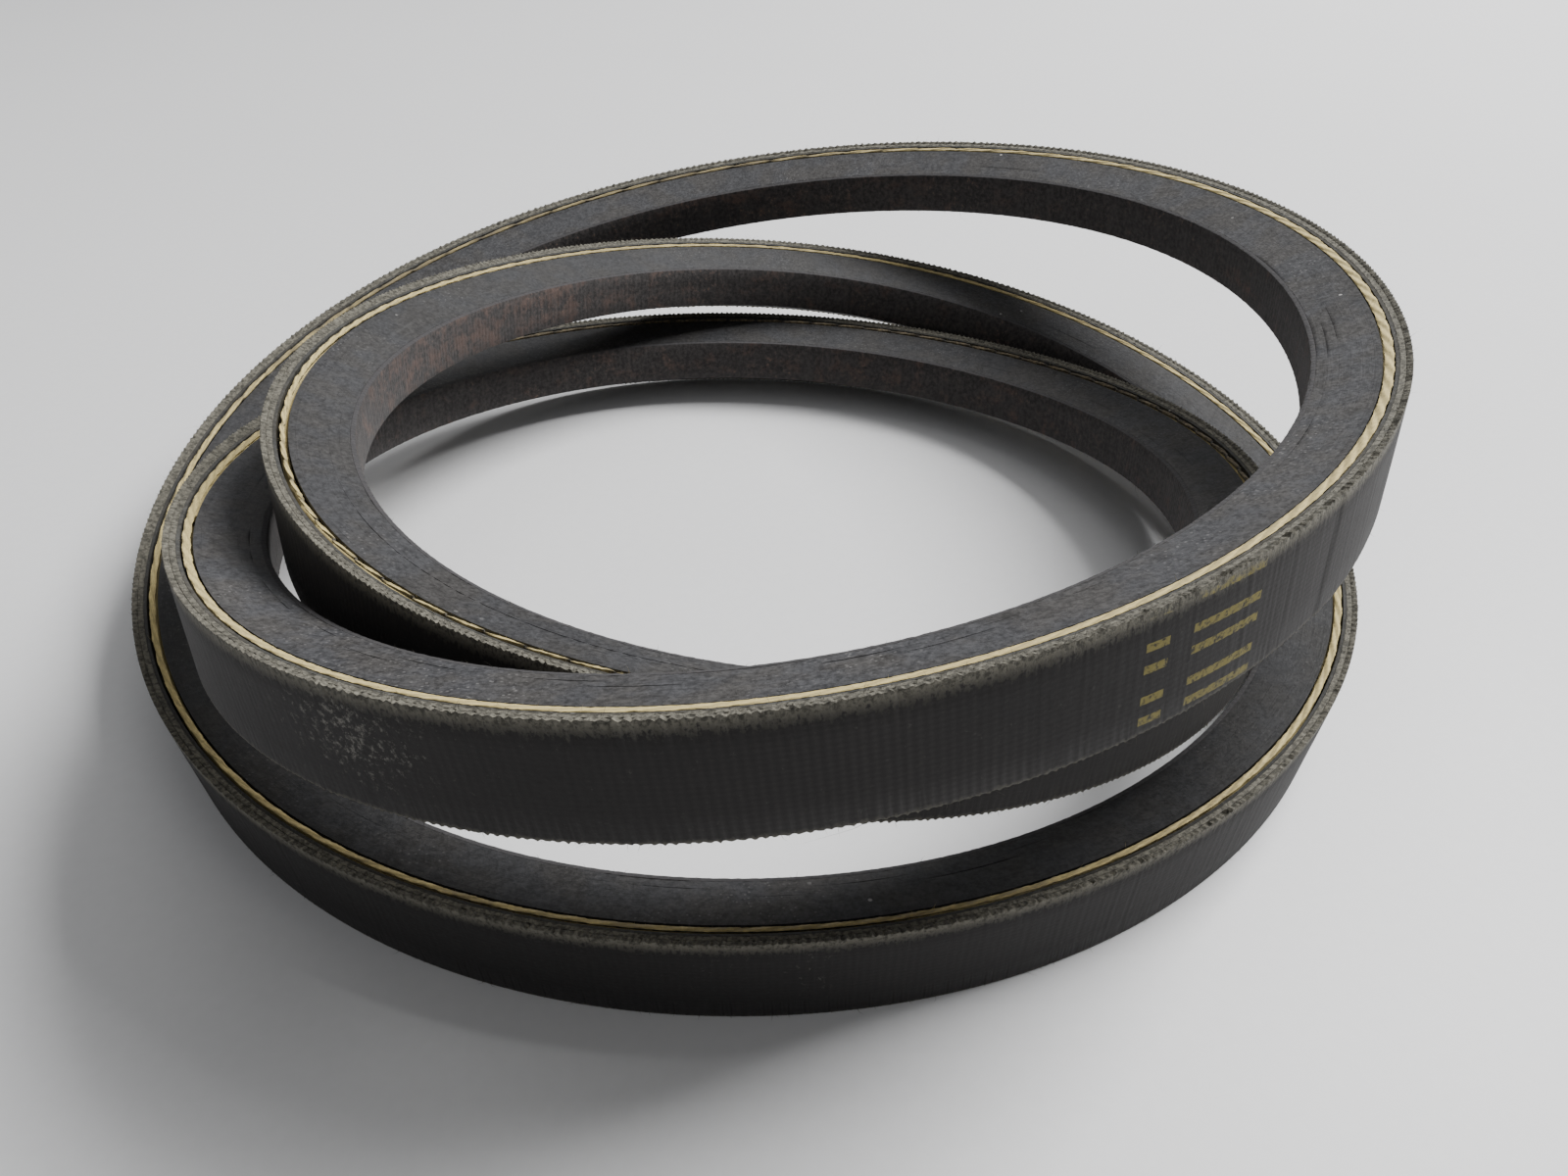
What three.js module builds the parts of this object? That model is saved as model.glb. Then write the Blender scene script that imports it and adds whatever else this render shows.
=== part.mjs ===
// Endless raw-edge V belt, stored as a loose coil of three laps on a table.
// Millimetres, +Z up, the table at Z = 0 and the coil's axis on Z. The belt's back faces outward.
// The belt is vulcanised from layers, and each layer is a closed band of its own. From the back
// inward: fabric plies, gum, the helically wound tensile cord, gum, compression rubber built up
// from calendered plies, and the fabric on the inner face. The flanks are cut through all of them.
import * as THREE from 'three';

// ---- Driving dimensions, mm ----
const BELT_LENGTH = 1090; // round the cord line
const TOP_WIDTH = 10.3; // across the back
const BELT_THICKNESS = 7.8;
const GROOVE_ANGLE = 36; // degrees between the two flanks
const BACK_PLY = 0.5;
const BACK_PLIES = 2;
const OVERCORD_GUM = 0.28;
const CORD_DIAMETER = 0.95;
const CORD_SPACING = 0.12; // between neighbouring turns of the cord
const UNDERCORD_GUM = 0.6;
const COMPRESSION_PLIES = 5; // they share what the other layers leave of the thickness
const INNER_FABRIC = 0.45;
const BOND_GAP = 0.08; // between the faces of two layers that are bonded together

// ---- How the coil lies ----
// One row a lap, one station every 45 degrees, counter-clockwise from -X. Each station holds
// how far the lap stands out from the coil's mean radius, in belt thicknesses, how high its
// lower back edge is lifted off the table, in belt widths, and how far the back is turned up,
// in degrees. They are the control values of a closed cubic B-spline.
const LAPS = [
  [[-0.4, 1.15, 5], [-0.1, 2.05, 4], [-0.35, 2.7, 4], [-0.65, 2.95, 8],
    [0.05, 2.75, 4], [2, 2.45, 2], [2.4, 1.75, 1], [2.55, 0.7, -4]],
  [[1.25, 0, -5], [-0.15, 0, -4], [-1, 0, -1], [-0.5, 0, -1],
    [0.8, 0, -6], [0.85, 0.35, -11], [0.8, 0.8, -8], [-0.95, 1.55, 0]],
  [[-1.4, 2.1, 4], [-1.45, 2.15, 6], [-1.5, 1.95, 7], [-1.1, 1.4, 5],
    [-0.75, 0.85, 0], [-0.35, 0, -8], [-0.6, 0, -13], [0.55, 0, -7]],
];
const SECTIONS_PER_STATION = 3; // belt sections from one station to the next
const CORD_FIRST_LAP = 0.35; // share of the belt's length by which the cord's end is moved on
const CORD_END = 0.12; // width left where the flank cuts the cord's end away
const STRIPS_BESIDE_CORD = 4; // strips across the gum faces that the cord lies against

// ---- The belt's cross-section ----
// s runs outward from the cord line, w across the belt. The layers are listed from the back in.
const flankSlope = Math.tan(THREE.MathUtils.degToRad(GROOVE_ANGLE / 2));
const backHeight = BACK_PLIES * BACK_PLY + OVERCORD_GUM + CORD_DIAMETER / 2;
const sharedThickness = BELT_THICKNESS - backHeight - CORD_DIAMETER / 2 - UNDERCORD_GUM - INNER_FABRIC;
const halfWidth = (s) => TOP_WIDTH / 2 - (backHeight - s) * flankSlope;

const LAYERS = [
  ...numbered('back_fabric_ply', BACK_PLIES, BACK_PLY, { color: 0x37332f, roughness: 0.85 }),
  { name: 'overcord_gum', thickness: OVERCORD_GUM, color: 0x4a4640, roughness: 0.8, innerStrips: STRIPS_BESIDE_CORD },
  { name: 'tensile_cord', thickness: CORD_DIAMETER, color: 0xd8cd9a, roughness: 0.75, wound: true },
  { name: 'undercord_gum', thickness: UNDERCORD_GUM, color: 0x45474b, roughness: 0.7, outerStrips: STRIPS_BESIDE_CORD },
  ...numbered('compression_ply', COMPRESSION_PLIES, sharedThickness / COMPRESSION_PLIES,
    { color: 0x4b4e54, roughness: 0.65 }),
  { name: 'inner_fabric_ply', thickness: INNER_FABRIC, color: 0x332b28, roughness: 0.85 },
];

function numbered(name, count, thickness, look) {
  return Array.from({ length: count }, (_, i) => ({ name: `${name}_${i + 1}`, thickness, ...look }));
}

// ---- The route ----
const stations = LAPS.flat();
const sectionCount = stations.length * SECTIONS_PER_STATION;

// The station values at a place along the belt, which is counted in stations.
function stationAt(place) {
  const first = Math.floor(place);
  const t = place - first;
  const weights = [(1 - t) ** 3, 3 * t ** 3 - 6 * t ** 2 + 4, -3 * t ** 3 + 3 * t ** 2 + 3 * t + 1, t ** 3];
  const values = [0, 0, 0];
  weights.forEach((weight, i) => {
    const station = stations[(first - 1 + i + stations.length) % stations.length];
    values.forEach((_, k) => { values[k] += weight / 6 * station[k]; });
  });
  return { offset: values[0], lift: values[1], turn: THREE.MathUtils.degToRad(values[2]) };
}

function cordLinePoint(coilRadius, place) {
  const { offset, lift, turn } = stationAt(place);
  const angle = Math.PI + place / stations.length * LAPS.length * 2 * Math.PI;
  const radius = coilRadius + offset * BELT_THICKNESS;
  const height = lift * TOP_WIDTH + TOP_WIDTH / 2 * Math.cos(turn) - backHeight * Math.sin(turn);
  return new THREE.Vector3(radius * Math.cos(angle), radius * Math.sin(angle), height);
}

const places = Array.from({ length: sectionCount }, (_, i) => i / SECTIONS_PER_STATION);

function cordLineLength(coilRadius) {
  const points = places.map((place) => cordLinePoint(coilRadius, place));
  return points.reduce((sum, point, i) => sum + point.distanceTo(points[(i + 1) % points.length]), 0);
}

// The mean radius at which the laps use up the belt's length.
function solveCoilRadius() {
  let radius = BELT_LENGTH / (LAPS.length * 2 * Math.PI);
  for (let round = 0; round < 8; round++) {
    radius += (BELT_LENGTH - cordLineLength(radius)) / (LAPS.length * 2 * Math.PI);
  }
  return radius;
}

const coilRadius = solveCoilRadius();

// A frame at each section: the cord line's point, the way out through the back and the way up.
const frames = places.map((place) => {
  const reach = 0.05;
  const ahead = cordLinePoint(coilRadius, place + reach);
  const behind = cordLinePoint(coilRadius, place - reach + stations.length);
  const along = ahead.sub(behind).normalize();
  const level = new THREE.Vector3().crossVectors(along, new THREE.Vector3(0, 0, 1)).normalize();
  const { turn } = stationAt(place);
  const outward = level.applyAxisAngle(along, -turn);
  const across = new THREE.Vector3().crossVectors(outward, along);
  return { point: cordLinePoint(coilRadius, place), outward, across };
});

function sectionPoint(index, s, w) {
  const { point, outward, across } = frames[index % frames.length];
  return point.clone().addScaledVector(outward, s).addScaledVector(across, w);
}

// ---- Solids ----
// A solid swept through rings of points, either closed on itself or with flat ends. A ring goes
// down the outer face, in outerStrips steps, and back up the inner one. Each quad between two rings
// is split from its upper edge to its lower one, so that faces that meet are split alike.
function sweepGeometry(rings, outerStrips, closed) {
  const size = rings[0].length;
  const positions = rings.flat().flatMap((point) => point.toArray());
  const triangles = [];
  const spans = closed ? rings.length : rings.length - 1;
  for (let i = 0; i < spans; i++) {
    const here = i * size;
    const next = ((i + 1) % rings.length) * size;
    for (let k = 0; k < size; k++) {
      const m = (k + 1) % size;
      if (k <= outerStrips) {
        triangles.push(here + k, here + m, next + m, here + k, next + m, next + k);
      } else {
        triangles.push(here + k, here + m, next + k, here + m, next + m, next + k);
      }
    }
  }
  if (!closed) {
    const last = (rings.length - 1) * size;
    for (let k = 1; k < size - 1; k++) {
      triangles.push(0, k + 1, k, last, last + k, last + k + 1);
    }
  }
  const geometry = new THREE.BufferGeometry();
  geometry.setAttribute('position', new THREE.Float32BufferAttribute(positions, 3));
  geometry.setIndex(triangles);
  geometry.computeVertexNormals();
  return geometry;
}

// One layer as a closed band between two depths, with each wide face in equal strips.
function bandGeometry(outerS, innerS, outerStrips, innerStrips) {
  const shares = (strips) => Array.from({ length: strips + 1 }, (_, i) => 1 - 2 * i / strips);
  const rings = frames.map((_, i) => [
    ...shares(outerStrips).map((share) => sectionPoint(i, outerS, share * halfWidth(outerS))),
    ...shares(innerStrips).map((share) => sectionPoint(i, innerS, -share * halfWidth(innerS))),
  ]);
  return sweepGeometry(rings, outerStrips, true);
}

// The cord: one helix that comes in through the lower flank, turns side by side across the belt
// and runs out through the upper flank. Both flanks cut its last turn lengthwise.
function cordGeometry(outerS, innerS) {
  const radius = CORD_DIAMETER / 2;
  const pitch = CORD_DIAMETER + CORD_SPACING;
  const reach = halfWidth(innerS) + radius - CORD_END;
  const stepCount = Math.floor(2 * reach / pitch * sectionCount);
  const firstSection = Math.round(CORD_FIRST_LAP * sectionCount);
  const rings = Array.from({ length: stepCount + 1 }, (_, i) => {
    const centre = -reach + i * pitch / sectionCount;
    const upper = (s) => Math.min(centre + radius, halfWidth(s));
    const lower = (s) => Math.max(centre - radius, -halfWidth(s));
    const index = firstSection + i;
    return [
      sectionPoint(index, outerS, upper(outerS)),
      sectionPoint(index, outerS, lower(outerS)),
      sectionPoint(index, innerS, lower(innerS)),
      sectionPoint(index, innerS, upper(innerS)),
    ];
  });
  return sweepGeometry(rings, 1, false);
}

// ---- The belt ----
const belt = new THREE.Group();
let depth = backHeight;
for (const layer of LAYERS) {
  const outerS = depth - BOND_GAP / 2;
  const innerS = depth - layer.thickness + BOND_GAP / 2;
  const geometry = layer.wound ? cordGeometry(outerS, innerS)
    : bandGeometry(outerS, innerS, layer.outerStrips ?? 1, layer.innerStrips ?? 1);
  const look = { color: layer.color, roughness: layer.roughness, metalness: 0 };
  const mesh = new THREE.Mesh(geometry, new THREE.MeshStandardMaterial(look));
  mesh.name = layer.name;
  belt.add(mesh);
  depth -= layer.thickness;
}

// The origin is the middle of the coil's footprint, on the table.
const box = new THREE.Box3().setFromObject(belt);
const middle = box.getCenter(new THREE.Vector3());
belt.position.set(-middle.x, -middle.y, -box.min.z);

export default belt;
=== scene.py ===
"""Looks of an endless raw-edge V belt, stored as a loose coil of three laps on a table.

Every layer is a closed band swept along the belt's route. Lengths are metres, +Z is up.
A place on the belt is counted in stations, eight to a lap. In the belt's cross-section s runs
outward from the cord line and w runs across the belt, upward on the upper flank's side.
"""
import math

import bpy
import numpy as np
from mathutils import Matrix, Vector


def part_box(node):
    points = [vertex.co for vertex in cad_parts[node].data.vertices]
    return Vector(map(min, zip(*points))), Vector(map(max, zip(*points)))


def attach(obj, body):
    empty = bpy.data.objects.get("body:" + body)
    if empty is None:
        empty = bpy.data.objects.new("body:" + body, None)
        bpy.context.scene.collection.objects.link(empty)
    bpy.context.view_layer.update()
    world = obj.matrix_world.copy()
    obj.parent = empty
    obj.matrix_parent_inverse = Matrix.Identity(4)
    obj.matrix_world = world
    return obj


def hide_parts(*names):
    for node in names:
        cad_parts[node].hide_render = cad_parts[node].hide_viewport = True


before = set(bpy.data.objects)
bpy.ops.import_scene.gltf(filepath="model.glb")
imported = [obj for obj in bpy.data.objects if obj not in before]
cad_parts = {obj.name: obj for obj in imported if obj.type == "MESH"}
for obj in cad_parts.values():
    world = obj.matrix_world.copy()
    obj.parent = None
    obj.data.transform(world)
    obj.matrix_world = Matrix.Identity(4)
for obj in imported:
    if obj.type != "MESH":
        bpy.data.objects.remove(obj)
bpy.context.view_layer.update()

bl_info = {
    "name": "Raw-edge V belt",
    "version": (1, 0, 0),
    "blender": (4, 5, 0),
    "location": "3D View > Sidebar > V Belt",
    "description": "Builds a coiled raw-edge V belt layer by layer",
    "category": "Add Mesh",
}

MM = 0.001

# ---- How the coil lies, as in the part's own source ----
# One row a lap: how far the lap stands out, in belt thicknesses, how high its lower back edge is
# lifted, in belt widths, and how far the back is turned up, in degrees.
LAPS = [
    [[-0.4, 1.15, 5], [-0.1, 2.05, 4], [-0.35, 2.7, 4], [-0.65, 2.95, 8],
     [0.05, 2.75, 4], [2, 2.45, 2], [2.4, 1.75, 1], [2.55, 0.7, -4]],
    [[1.25, 0, -5], [-0.15, 0, -4], [-1, 0, -1], [-0.5, 0, -1],
     [0.8, 0, -6], [0.85, 0.35, -11], [0.8, 0.8, -8], [-0.95, 1.55, 0]],
    [[-1.4, 2.1, 4], [-1.45, 2.15, 6], [-1.5, 1.95, 7], [-1.1, 1.4, 5],
     [-0.75, 0.85, 0], [-0.35, 0, -8], [-0.6, 0, -13], [0.55, 0, -7]],
]
STATIONS = np.array(LAPS, float).reshape(-1, 3)
FRAME_SECTIONS = 72  # sections of the solid model round the belt
UV_START = 12.6  # the place where the patterns' ends meet, in stations
INK_START = 2.60  # where the marking begins and where the outer ply laps over itself, in stations
LAP_START = 3.08
BACK_PLIES = 2
BAND_STEPS = 2400  # sections round the belt in each rubber layer
INNER_STEPS = 3000  # in the inner fabric
CUT_STEPS = 4400  # in the cord's cut faces
WINDING_STEPS = 900  # in each turn of the wound cord
CORD_TWISTS = 330  # turns of the cord's strands round the belt
GRAZED_DASHES = 248  # dashes round the belt where the cut only grazes the cord
# How the cut has left the cord on the flank, station by station: half the width that shows, in
# millimetres, how far it is dulled to a dark brown, and how much of it the rubber film still covers.
CORD_SHOWS = [0.29, 0.32, 0.37, 0.38, 0.37, 0.33, 0.26, 0.24, 0.28, 0.25, 0.25, 0.28,
              0.33, 0.30, 0.26, 0.25, 0.23, 0.17, 0.15, 0.20, 0.20, 0.20, 0.20, 0.24]
CORD_DULLING = [0.15, 0.10, 0.08, 0.05, 0.10, 0.35, 0.60, 0.65, 0.30, 0.45, 0.55, 0.40,
             0.20, 0.45, 0.50, 0.40, 0.15, 0.20, 0.35, 0.60, 0.95, 1.00, 1.00, 0.80]
CORD_COVER = [0.0, 0.0, 0.0, 0.0, 0.0, 0.1, 0.6, 0.6, 0.1, 0.1, 0.1, 0.1,
              0.0, 0.1, 0.2, 0.1, 0.2, 1.0, 1.0, 1.0, 0.8, 0.8, 0.8, 0.4]
# Painted shade on the cut rubber that lies under other laps, station by station: 1 adds none and is
# greyest.
RUBBER_UNSHADED = [1.0, 1.0, 1.0, 1.0, 1.0, 1.0, 1.0, 0.9, 0.5, 0.35, 0.8, 0.35,
                0.5, 0.7, 0.5, 0.55, 0.7, 0.7, 0.75, 0.85, 0.8, 0.7, 0.6, 0.55]
BOND_GAP = 0.08 * MM  # between two layers that are bonded together


class BeltSizes(bpy.types.PropertyGroup):
    """Sizes of the belt's section and of its surface detail."""
    length: bpy.props.FloatProperty(
        name="Length", description="Round the cord line", default=1.09, unit="LENGTH")
    top_width: bpy.props.FloatProperty(
        name="Top width", description="Across the back", default=10.3 * MM, unit="LENGTH")
    thickness: bpy.props.FloatProperty(
        name="Thickness", description="From the back to the inner face", default=7.8 * MM,
        unit="LENGTH")
    groove_angle: bpy.props.FloatProperty(
        name="Groove angle", description="Between the two flanks", default=math.radians(36),
        subtype="ANGLE")
    back_ply: bpy.props.FloatProperty(
        name="Back ply", description="Thickness of each fabric ply of the back", default=0.5 * MM,
        unit="LENGTH")
    overcord_gum: bpy.props.FloatProperty(
        name="Overcord gum", description="Rubber between fabric and cord", default=0.28 * MM,
        unit="LENGTH")
    cord: bpy.props.FloatProperty(
        name="Cord", description="Diameter of the tensile cord", default=0.95 * MM, unit="LENGTH")
    cord_spacing: bpy.props.FloatProperty(
        name="Cord spacing", description="Between neighbouring turns", default=0.12 * MM, unit="LENGTH")
    undercord_gum: bpy.props.FloatProperty(
        name="Undercord gum", description="Rubber under the cord", default=0.6 * MM, unit="LENGTH")
    inner_fabric: bpy.props.FloatProperty(
        name="Inner fabric", description="Ply on the inner face", default=0.45 * MM, unit="LENGTH")
    compression_plies: bpy.props.IntProperty(
        name="Compression plies", description="Calendered plies of the compression rubber", default=5)
    rib_count: bpy.props.IntProperty(
        name="Ribs", description="Crosswise ribs of the back's weave round the belt", default=1500)
    fray_count: bpy.props.IntProperty(
        name="Fray", description="Loose fibres along the fabric's cut edges", default=11000)


class BeltColours(bpy.types.PropertyGroup):
    """Base colours of the belt's finishes."""
    fabric: bpy.props.FloatVectorProperty(
        name="Back fabric", description="Rubberised weave of the back", subtype="COLOR",
        default=(0.020, 0.018, 0.0175))
    fray: bpy.props.FloatVectorProperty(
        name="Frayed edge", description="Cut and frayed weave", subtype="COLOR",
        default=(0.116, 0.109, 0.088))
    rubber: bpy.props.FloatVectorProperty(
        name="Rubber", description="Cut flanks", subtype="COLOR", default=(0.054, 0.052, 0.0545))
    cord: bpy.props.FloatVectorProperty(
        name="Cord", description="Cut polyester cord", subtype="COLOR", default=(0.73, 0.59, 0.26))
    inner: bpy.props.FloatVectorProperty(
        name="Inner fabric", description="Weave of the inner face", subtype="COLOR",
        default=(0.038, 0.034, 0.033))
    rust: bpy.props.FloatVectorProperty(
        name="Rust", description="Rust rubbed off the pulleys", subtype="COLOR",
        default=(0.098, 0.062, 0.050))
    ink: bpy.props.FloatVectorProperty(
        name="Ink", description="Worn marking ink", subtype="COLOR", default=(0.26, 0.22, 0.06))
    floor: bpy.props.FloatVectorProperty(
        name="Table", description="Pale table top", subtype="COLOR", default=(0.87, 0.87, 0.875))


# ---- The route and the section ----
def station_values(place):
    """Offset, lift and turn at each place: a closed cubic B-spline through the control stations."""
    first = np.floor(place).astype(int)
    t = place - first
    weights = [(1 - t) ** 3, 3 * t ** 3 - 6 * t ** 2 + 4, -3 * t ** 3 + 3 * t ** 2 + 3 * t + 1, t ** 3]
    return sum(weight[:, None] / 6 * STATIONS[(first - 1 + i) % len(STATIONS)]
               for i, weight in enumerate(weights))


class Belt:
    """The belt's section sizes and its route, worked out once from the sizes in the scene."""

    def __init__(self, sizes):
        self.sizes = sizes
        self.slope = math.tan(sizes.groove_angle / 2)
        self.back = BACK_PLIES * sizes.back_ply + sizes.overcord_gum + sizes.cord / 2
        self.turns = 2 * math.pi * len(LAPS)
        self.radius = sizes.length / self.turns
        for _ in range(8):
            loop = self.cord_line(self.frame_places())
            length = np.linalg.norm(np.roll(loop, -1, 0) - loop, axis=1).sum()
            self.radius += (sizes.length - length) / self.turns
        self.shift = np.zeros(3)
        corners = [self.at(self.frame_places(), self.back - BOND_GAP / 2, sign * self.half_width(
            self.back - BOND_GAP / 2)) for sign in (1, -1)]
        corners = np.concatenate(corners)
        middle = (corners.min(0) + corners.max(0)) / 2
        low, high = (np.array(corner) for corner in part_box("back_fabric_ply_1"))
        self.shift = (low + high) / 2 - middle

    def frame_places(self):
        """The places of the solid model's sections."""
        return np.arange(FRAME_SECTIONS) * len(STATIONS) / FRAME_SECTIONS

    def half_width(self, s):
        """Half the belt's width at depth s: it narrows inward by the flank's slope."""
        return self.sizes.top_width / 2 - (self.back - s) * self.slope

    def cord_line(self, place):
        """The cord line: a radius and a height for each angle round the coil's axis."""
        offset, lift, turn = station_values(place).T
        turn = np.radians(turn)
        angle = math.pi + place / len(STATIONS) * self.turns
        radius = self.radius + offset * self.sizes.thickness
        width = self.sizes.top_width
        height = lift * width + width / 2 * np.cos(turn) - self.back * np.sin(turn)
        return np.stack([radius * np.cos(angle), radius * np.sin(angle), height], 1)

    def directions(self, place):
        """The way out through the back and the way across, at right angles to the cord line."""
        reach = 0.05
        along = self.cord_line(place + reach) - self.cord_line(place - reach)
        along /= np.linalg.norm(along, axis=1)[:, None]
        level = np.cross(along, [0.0, 0.0, 1.0])
        level /= np.linalg.norm(level, axis=1)[:, None]
        upright = np.cross(level, along)
        turn = np.radians(station_values(place)[:, 2])[:, None]
        return (np.cos(turn) * level + np.sin(turn) * upright,
                np.cos(turn) * upright - np.sin(turn) * level)

    def at(self, place, s, w):
        """Points at depth s and width w: the cord line's point plus s outward plus w across."""
        outward, across = self.directions(place)
        s, w = np.asarray(s), np.asarray(w)
        if s.ndim == 2 or w.ndim == 2:
            outward, across = outward[:, None, :], across[:, None, :]
            point = self.cord_line(place)[:, None, :]
        else:
            point = self.cord_line(place)
        grid = point + s[..., None] * outward + w[..., None] * across + self.shift
        grid[..., 2] = np.maximum(grid[..., 2], 0.0)
        return grid


def ripple(place, lowest, highest, count, seed):
    """Seamless roughness along the belt: a sum of sines of whole frequencies with random phases."""
    rng = np.random.default_rng(seed)
    frequencies = rng.integers(lowest, highest, count)
    phases = rng.uniform(0, 2 * np.pi, count)
    angle = place[:, None] / len(STATIONS) * 2 * np.pi
    return np.sin(angle * frequencies + phases).sum(1) / math.sqrt(count / 2)


# ---- Meshes ----
def build_mesh(name, grid, closed_along=True, uv=None, attributes=None):
    """A mesh from a grid of points, rows along the belt and columns round the section. The
    columns close on themselves; the rows do too, or each end is closed by one face."""
    rows, columns = grid.shape[:2]
    spans = rows if closed_along else rows - 1
    i = np.arange(spans)[:, None]
    j = np.arange(columns)[None, :]
    here, ahead = i * columns, (i + 1) % rows * columns
    beside = (j + 1) % columns
    quads = np.broadcast_arrays(here + j, here + beside, ahead + beside, ahead + j)
    faces = np.stack(quads, -1).reshape(-1, 4).tolist()
    if not closed_along:
        faces.append(list(range(columns))[::-1])
        faces.append([(rows - 1) * columns + k for k in range(columns)])
    mesh = bpy.data.meshes.new(name)
    mesh.from_pydata(grid.reshape(-1, 3).tolist(), [], faces)
    along = np.broadcast_to(i / rows, (spans, columns))
    if uv is None:
        uv = np.arange(columns + 1) / columns
    left = np.broadcast_to(uv[:-1], (spans, columns))
    right = np.broadcast_to(uv[1:], (spans, columns))
    on = along + 1 / rows
    pairs = (along, left), (along, right), (on, right), (on, left)
    corners = np.stack([np.stack(pair, -1) for pair in pairs], 2)
    values = corners.reshape(-1).tolist()
    layer = mesh.uv_layers.new(name="belt")
    values += [0.0] * (2 * len(layer.data) - len(values))
    layer.data.foreach_set("uv", values)
    for key, data in (attributes or {}).items():
        attribute = mesh.attributes.new(key, "FLOAT", "POINT")
        spread = np.broadcast_to(data, (rows, columns)).reshape(-1)
        attribute.data.foreach_set("value", spread.astype(np.float32))
    mesh.polygons.foreach_set("use_smooth", [True] * len(mesh.polygons))
    mesh.update()
    mesh.set_sharp_from_angle(angle=math.radians(60))
    return mesh


def add_piece(name, mesh, material, replaced=()):
    """Puts a finished mesh in the scene as a piece that rides on the belt."""
    piece = bpy.data.objects.new(name, mesh)
    bpy.context.scene.collection.objects.link(piece)
    piece.data.materials.append(material)
    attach(piece, "root")
    if replaced:
        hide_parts(*replaced)
    return piece


def section_loop(outer_s, inner_s, faces, flanks, rounding):
    """A layer's section: down the outer face, in along the lower flank, up the inner face and out
    again, with each corner drawn in by the rounding. Returns the depths, the shares of the half
    width, which points lie on a flank, and the pattern's coordinate across."""
    rim = 0.985
    inside = np.linspace(rim, -rim, faces - 2)
    face = np.concatenate([[1.0], inside, [-1.0]])
    depth = np.linspace(0.06, 0.94, flanks)
    way_in = np.concatenate([np.zeros(faces), depth, np.ones(faces), depth[::-1]])
    s = outer_s + (inner_s - outer_s) * way_in
    share = np.concatenate([face, -np.ones(flanks), -face, np.ones(flanks)])
    v = np.concatenate([(1 - face) / 4, 0.5 + 0.05 * depth, 0.55 + (1 - face) / 5,
                        0.95 + 0.05 * depth, [1.0]])
    corners = np.zeros(len(s), bool)
    corners[[0, faces - 1, faces + flanks, 2 * faces + flanks - 1]] = True
    pull = np.where(corners, rounding, 0.0)
    s = s - np.sign(s - (outer_s + inner_s) / 2) * pull
    return s, share, np.abs(share) > 0.999, v


def cut_waves(place, s):
    """Unevenness of the cut flanks, the same for every layer so that it runs on across them: a sum
    of sines of whole frequency along the belt and any frequency in depth. About 1 at its most."""
    rng = np.random.default_rng(17)
    angle = place[:, None] / len(STATIONS) * 2 * np.pi
    total = np.zeros((len(place), len(s)))
    waves = 44
    frequencies = rng.integers(20, 1100, waves)
    depths = rng.normal(0, 1600, waves)
    phases = rng.uniform(0, 6.3, waves)
    for along, deep, phase in zip(frequencies, depths, phases):
        total += np.sin(along * angle + deep * s[None, :] + phase)
    return total / 12


def between_stations(values, place):
    """Values given at the stations, joined by straight lines right round the belt."""
    return np.interp(place % len(values), np.arange(len(values) + 1), [*values, values[0]])


def bump(place, centre, spread):
    """1 at the centre, falling off along the belt as a bell curve."""
    away = (place - centre + len(STATIONS) / 2) % len(STATIONS) - len(STATIONS) / 2
    return np.exp(-(away / spread) ** 2)


# ---- Materials ----
class Socket:
    """A node's output. Arithmetic with numbers or other sockets adds Math nodes."""

    def __init__(self, finish, link):
        self.finish, self.link = finish, link

    def math(self, operation, *values):
        inputs = dict(enumerate(values))
        return self.finish.node("ShaderNodeMath", {"operation": operation}, inputs)

    def __add__(self, other):
        return self.math("ADD", self, other)

    def __sub__(self, other):
        return self.math("SUBTRACT", self, other)

    def __rsub__(self, other):
        return self.math("SUBTRACT", other, self)

    def __mul__(self, other):
        return self.math("MULTIPLY", self, other)

    def __gt__(self, other):
        return self.math("GREATER_THAN", self, other)

    __radd__, __rmul__ = __add__, __mul__

    def sine(self):
        return self.math("SINE", self)

    def larger(self, other):
        return self.math("MAXIMUM", self, other)

    def smooth(self, low, high):
        """A soft step from 0 at low to 1 at high."""
        return self.finish.node("ShaderNodeMapRange", {"interpolation_type": "SMOOTHSTEP"},
                                {"Value": self, "From Min": low, "From Max": high})


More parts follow.
